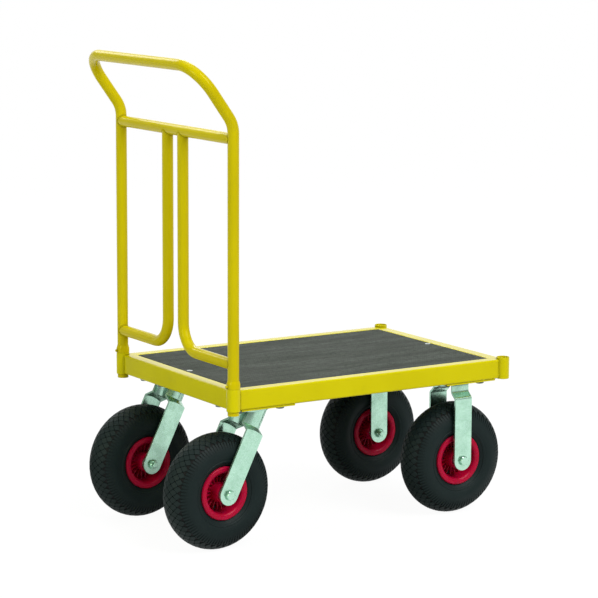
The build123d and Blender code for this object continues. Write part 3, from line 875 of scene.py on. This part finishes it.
around = ring_of()
rubber = tyre_rubber()
block = mark_proud(tread_block(), block_height)
tread_sizes = {"Rows": lug_rows, "Count": lug_count, "Row Step": row_angle, "Finish": rubber}
tread_sizes |= {"Section Middle": section_mid * mm, "Section Radius": groove_r * mm}
tread = grown("tread", bpy.data.meshes.new("tread_base"), tread_field(), tread_sizes, block)
bars = [mark_proud(comb_bar(side), comb_height) for side in (-1, 1)]
combs = [ring_mesh("shoulder_comb", bar, comb_count, 0.0, rubber) for bar in bars]
casing = mesh_of("casing", lathe(bmesh.new(), casing_profile(), casing_turns))
mark_proud(casing, casing_height)
for body, place in wheels.items():
    node = body.replace("wheel", "tyre")
    moulded = joined(node, [casing, tread, *combs], place)
    settle(node + "_moulded", moulded, body, rubber, [node])

# Rims: two halves of crimson moulded plastic screwed together through the web. Each half has a
# rolled flange that holds the tyre's bead, a deep dish with low radial ribs, and the hub that holds
# a bearing. The valve comes through the barrel of the outer half.
split_z = 0.1
web_z = 5.1
flange_r, flange_low, flange_top = 60.0, 31.3, 36.0
barrel_r = 50.0
mouth_r, floor_r = 46.0, 39.0
hub_r, hub_top = 22.0, 37.5
seat_r, seat_low = 17.6, 25.5
lip_r = 14.6
rim_outline = [
    (lip_r, split_z, 0),
    (barrel_r, split_z, 0.6),
    (barrel_r, flange_low, 0.8),
    (flange_r, flange_low, 0.4),
    (flange_r, flange_top, 4.2),
    (mouth_r, flange_top, 8.0),
    (floor_r, web_z, 3.0),
    (hub_r, web_z, 2.0),
    (hub_r, hub_top, 1.2),
    (seat_r, hub_top, 0.6),
    (seat_r, seat_low, 0),
    (lip_r, seat_low, 0),
]
rib_count = 20
rib_half_t = 1.0
rib_rim_h, rib_hub_h = 9.0, 6.0
rib_root = 1.0
rim_turns = 120


def rim_plastic():
    """Crimson plastic, satin, with faint flow marks."""
    finish, tree, shader, place = new_finish("rim_plastic")
    flow = mottle(tree, place, 30.0, 4.0)
    grain = mottle(tree, place, 700.0, 2.0)
    base = tint(tree, level(tree, flow, 0, 1), (0.38, 0.0016, 0.028, 1), (0.45, 0.0026, 0.037, 1))
    look = {"Base Color": base, "Roughness": level(tree, flow, 0.24, 0.34)}
    look |= {"Specular IOR Level": 0.12, "Subsurface Weight": 0.35}
    look |= {"Subsurface Radius": (1.0, 0.12, 0.16), "Subsurface Scale": 6 * mm}
    fill(tree, shader, look)
    relief(tree, shader, (grain, 0.02), (flow, 0.05))
    return finish


def rim_rib():
    """One radial rib, a low plate that falls from the dish's wall to the hub."""
    inner, outer, foot = hub_r - rib_root, mouth_r + rib_root, web_z - rib_root
    outline = [(inner, foot), (outer, foot), (outer, web_z + rib_rim_h), (inner, web_z + rib_hub_h)]
    shape = bmesh.new()
    sides = []
    for y in (-rib_half_t, rib_half_t):
        sides.append([shape.verts.new((r * mm, y * mm, z * mm)) for r, z in outline])
        shape.faces.new(sides[-1])
    join_rings(shape, *sides)
    return mesh_of("rim_rib", shape)


crimson = rim_plastic()
rolls = [roll for *_, roll in rim_outline[1:-1]]
rim_line = bent_line([(r, z, 0) for r, z, _ in rim_outline], rolls)
rim_body = lathe(bmesh.new(), [(point.x, point.y) for point in rim_line], rim_turns)
rim_body = mesh_of("rim_body", rim_body)
ribs = ring_mesh("rim_ribs", rim_rib(), rib_count, math.pi / rib_count, crimson)
flip = Matrix.Rotation(math.pi, 4, "X")
for body, place in wheels.items():
    for half, turned in (("outer", place), ("inner", place @ flip)):
        node = body.replace("wheel", f"rim_{half}")
        moulded = joined(node, [rim_body, ribs], turned)
        settle(node + "_moulded", moulded, body, crimson, [node])

# Inside the wheels: butyl inner tubes whose valves end in a cap, five screws through each rim,
# steel bearings, and the sleeve and spacers that the axle bolt clamps between the fork legs. The
# axle bolt and its lock nut are plated like the forks.
valve_z = 16.0
cap_profile = [(axis_r, 35.2), (3.2, 35.2), (4.0, 35.8), (4.3, 36.6)]
cap_profile += [(4.3, 41.5), (3.9, 42.0), (axis_r, 42.0)]
cap_turns = 28
screw_count = 5
screw_ring_r = 35.5
screw_af = 7.0
screw_h = 4.2
screw_sunk = 0.2
screw_start = 4 * math.pi / rib_count
leg_out = 52.0
axle_r = 6.0
axle_af = 19.0
axle_head_h = 7.5
axle_nut_h = 7.6
axle_nut_bore = 6.1
axle_collar_r = 8.6
axle_collar_h = 2.4
axle_end = 65.0


def butyl_rubber():
    """Black inner tube rubber, a little glossier than the tyre."""
    finish, tree, shader, place = new_finish("butyl_rubber")
    cloud = mottle(tree, place, 90.0, 4.0)
    base = tint(tree, level(tree, cloud, 0, 1), (0.010, 0.010, 0.010, 1), (0.022, 0.022, 0.022, 1))
    fill(tree, shader, {"Base Color": base, "Roughness": level(tree, cloud, 0.38, 0.55)})
    relief(tree, shader, (cloud, 0.05))
    return finish


butyl = butyl_rubber()
black_oxide = zinc_finish("black_oxide", (0.024, 0.024, 0.026, 1), (0.014, 0.014, 0.016, 1), 0.40)
cap = mesh_of("valve_cap", lathe(bmesh.new(), cap_profile, cap_turns))
to_valve = Matrix.Translation((0, 0, valve_z * mm)) @ Matrix.Rotation(math.pi / 2, 4, "Y")
head = hex_head(bmesh.new(), screw_af, screw_h, web_z - screw_sunk, dome=0.12)
head = mesh_of("rim_screw", moved(head, Matrix.Translation((screw_ring_r * mm, 0, 0))))
screws = ring_mesh("rim_screws", head, screw_count, screw_start, black_oxide)
shank = [(axis_r, leg_out), (axle_r, leg_out), (axle_r, thread_chamfer - axle_end)]
shank += [(axle_r - thread_chamfer, -axle_end), (axis_r, -axle_end)]
shape = lathe(bmesh.new(), shank, fastener_turns)
hex_head(shape, axle_af, axle_head_h, leg_out, dome=0.14)
nut = lock_nut(axle_af, axle_nut_h, leg_out, axle_nut_bore, axle_collar_r, axle_collar_h)
shape.from_mesh(mesh_of("axle_nut", moved(nut, flip)))
axle = mesh_of("axle_bolt", shape)
for body, place in wheels.items():
    end_side = body.removeprefix("wheel_")
    end, side = end_side.split("_")
    carrier = "swivel_" + side if end == "handle" else "chassis"
    dress(f"inner_tube_{end_side}", body, butyl, 0.0)
    dress(f"bearings_{end_side}", body, bright_zinc, rail_edge)
    dress(f"axle_sleeve_{end_side}", carrier, bright_zinc, rail_edge)
    node = f"axle_bolt_{end_side}"
    fitted = joined(node, [axle], place)
    settle(node + "_fitted", fitted, carrier, fork_zinc, [node])
    capped = joined("valve_cap", [cap], place @ to_valve)
    settle(f"valve_cap_{end_side}", capped, body, butyl)
    driven = joined("rim_screws", [screws], place)
    settle(f"rim_screws_{end_side}", driven, body, black_oxide)

# Floor, light and camera: a plain pale floor under soft studio light, seen as in the photograph. In
# reflections the floor's glow holds a painted shadow under the cart and a painted dark patch behind
# the handle, so that the end rail keeps its colour.
floor_half = 60.0
floor_corners = ((-1, -1), (1, -1), (1, 1), (-1, 1))
white = 1.08
glow_share = 0.88
view_line, dark_patch_line = (0.53, 0.85, 0.0), (0.85, 0.53, 0.0)
dark_patch_off, dark_patch_strength, dark_patch_edge = 0.38, 0.85, (0.25, 0.6)
apron_depth = 0.4
under_cart, shade_edge = 0.25, (0.25, 0.45)
room_light = 0.22
floor_mesh = bpy.data.meshes.new("studio_floor")
floor_points = [(x * floor_half, y * floor_half, 0) for x, y in floor_corners]
floor_mesh.from_pydata(floor_points, [], [(0, 1, 2, 3)])
studio_floor = put("studio_floor", floor_mesh)


def distance_along(tree, place, line):
    """How far a place lies along a level line through the middle of the floor."""
    values = {0: place, 1: line}
    return add(tree, "ShaderNodeVectorMath", values, operation="DOT_PRODUCT").outputs["Value"]


def studio_paper():
    """Pale paper that looks white to the camera but still takes the shadow of the cart."""
    paper, tree, shader, place = new_finish("studio_paper")
    tree.nodes.remove(shader)
    path = tree.nodes.new("ShaderNodeLightPath").outputs
    mirrored = calc(tree, "MAXIMUM", path["Is Glossy Ray"], path["Is Transmission Ray"])
    depth = add(tree, "ShaderNodeSeparateXYZ", {"Vector": place}).outputs["Y"]
    # In reflections the glow is darkened into a painted dark patch behind the handle and a painted
    # shadow under the cart.
    across = distance_along(tree, place, dark_patch_line)
    aside = calc(tree, "ABSOLUTE", calc(tree, "ADD", across, dark_patch_off))
    dark_patch = calc(tree, "SUBTRACT", white, level(tree, aside, dark_patch_strength, 0, *dark_patch_edge))
    apron = level(tree, depth, white, dark_patch, 0, apron_depth)
    away = add(tree, "ShaderNodeVectorMath", {0: place}, operation="LENGTH").outputs["Value"]
    shaded = calc(tree, "MULTIPLY", apron, level(tree, away, under_cart, 1, *shade_edge))
    bright = level(tree, mirrored, white, shaded, 0, 1)
    seen = calc(tree, "ADD", calc(tree, "MULTIPLY", path["Is Camera Ray"], glow_share), mirrored)
    grain = tint(tree, mottle(tree, place, 5.0), (0.56, 0.56, 0.56, 1), (0.60, 0.60, 0.60, 1))
    card = add(tree, "ShaderNodeBsdfDiffuse", {"Color": grain}).outputs[0]
    glow = add(tree, "ShaderNodeEmission", {"Color": (1, 1, 1, 1), "Strength": bright}).outputs[0]
    mixed = add(tree, "ShaderNodeMixShader", {0: seen, 1: card, 2: glow}).outputs[0]
    tree.links.new(mixed, tree.nodes["Material Output"].inputs["Surface"])
    return paper


def studio_world():
    """Even, weak light from all round, and in reflections a bright backdrop beyond the cart."""
    world = bpy.data.worlds.new("studio")
    world.use_nodes = True
    tree = world.node_tree
    path = tree.nodes.new("ShaderNodeLightPath").outputs
    toward = tree.nodes.new("ShaderNodeTexCoord").outputs["Generated"]
    backdrop = level(tree, distance_along(tree, toward, view_line), 0.35, 1.2, 0.45, 0.92)
    mirrored = calc(tree, "MAXIMUM", path["Is Glossy Ray"], path["Is Transmission Ray"])
    strength = level(tree, mirrored, room_light, backdrop, 0, 1)
    strength = calc(tree, "MAXIMUM", path["Is Camera Ray"], strength)
    tree.nodes["Background"].inputs["Color"].default_value = (1, 1, 1, 1)
    tree.links.new(strength, tree.nodes["Background"].inputs["Strength"])
    return world


def soft_light(name, kind, settings, toward, place=(0, 0, 0)):
    """A lamp of a kind with its settings, looking along a direction from a place."""
    lamp = bpy.data.lights.new(name, kind)
    for key, value in settings.items():
        setattr(lamp, key, value)
    light = put(name, lamp)
    light.location = place
    light.rotation_euler = Vector(toward).to_track_quat("-Z", "Y").to_euler()


def softbox(name, place, target, size, watts, colour=(1, 1, 1)):
    """A square soft light aimed at a point."""
    settings = {"size": size, "energy": watts, "color": colour}
    soft_light(name, "AREA", settings, Vector(target) - Vector(place), place)


floor_mesh.materials.append(studio_paper())
bpy.context.scene.world = studio_world()
soft_light("key_sun", "SUN", {"energy": 2.15, "angle": math.radians(35)}, (-0.20, 0.66, -0.72))
softbox("key_softbox", (1.2, -4.0, 2.6), (0, 0, 0.4), 1.0, 20)
softbox("top_softbox", (-0.3, 0.2, 3.6), (0, 0, 0.3), 2.0, 26)
softbox("edge_softbox", (-0.6, 3.3, 3.1), (-0.2, 0, 0.8), 1.4, 22)
softbox("fill_softbox", (-4.2, -1.0, 2.0), (0, 0, 0.5), 1.8, 70, (0.90, 1.0, 0.70))
softbox("back_softbox", (2.0, 3.4, 3.3), (0, 0, 0.4), 1.6, 40)

cam_place = Vector((-2.94066, -4.67178, 1.40879))
yaw, pitch, roll = 0.5632, 0.1628, 0.0043
ahead = Vector((math.sin(yaw) * math.cos(pitch), math.cos(yaw) * math.cos(pitch), -math.sin(pitch)))
level_right = Vector((math.cos(yaw), -math.sin(yaw), 0))
level_up = level_right.cross(ahead)
right = level_right * math.cos(roll) + level_up * math.sin(roll)
up = level_up * math.cos(roll) - level_right * math.sin(roll)
lens = bpy.data.cameras.new("photo_camera")
lens.sensor_width = 36.0
lens.lens = 147.26
camera = put("photo_camera", lens)
facing = Matrix((right, up, -ahead)).transposed().to_4x4()
camera.matrix_world = Matrix.Translation(cam_place) @ facing
bpy.context.scene.camera = camera
bpy.context.scene.view_settings.view_transform = "Standard"
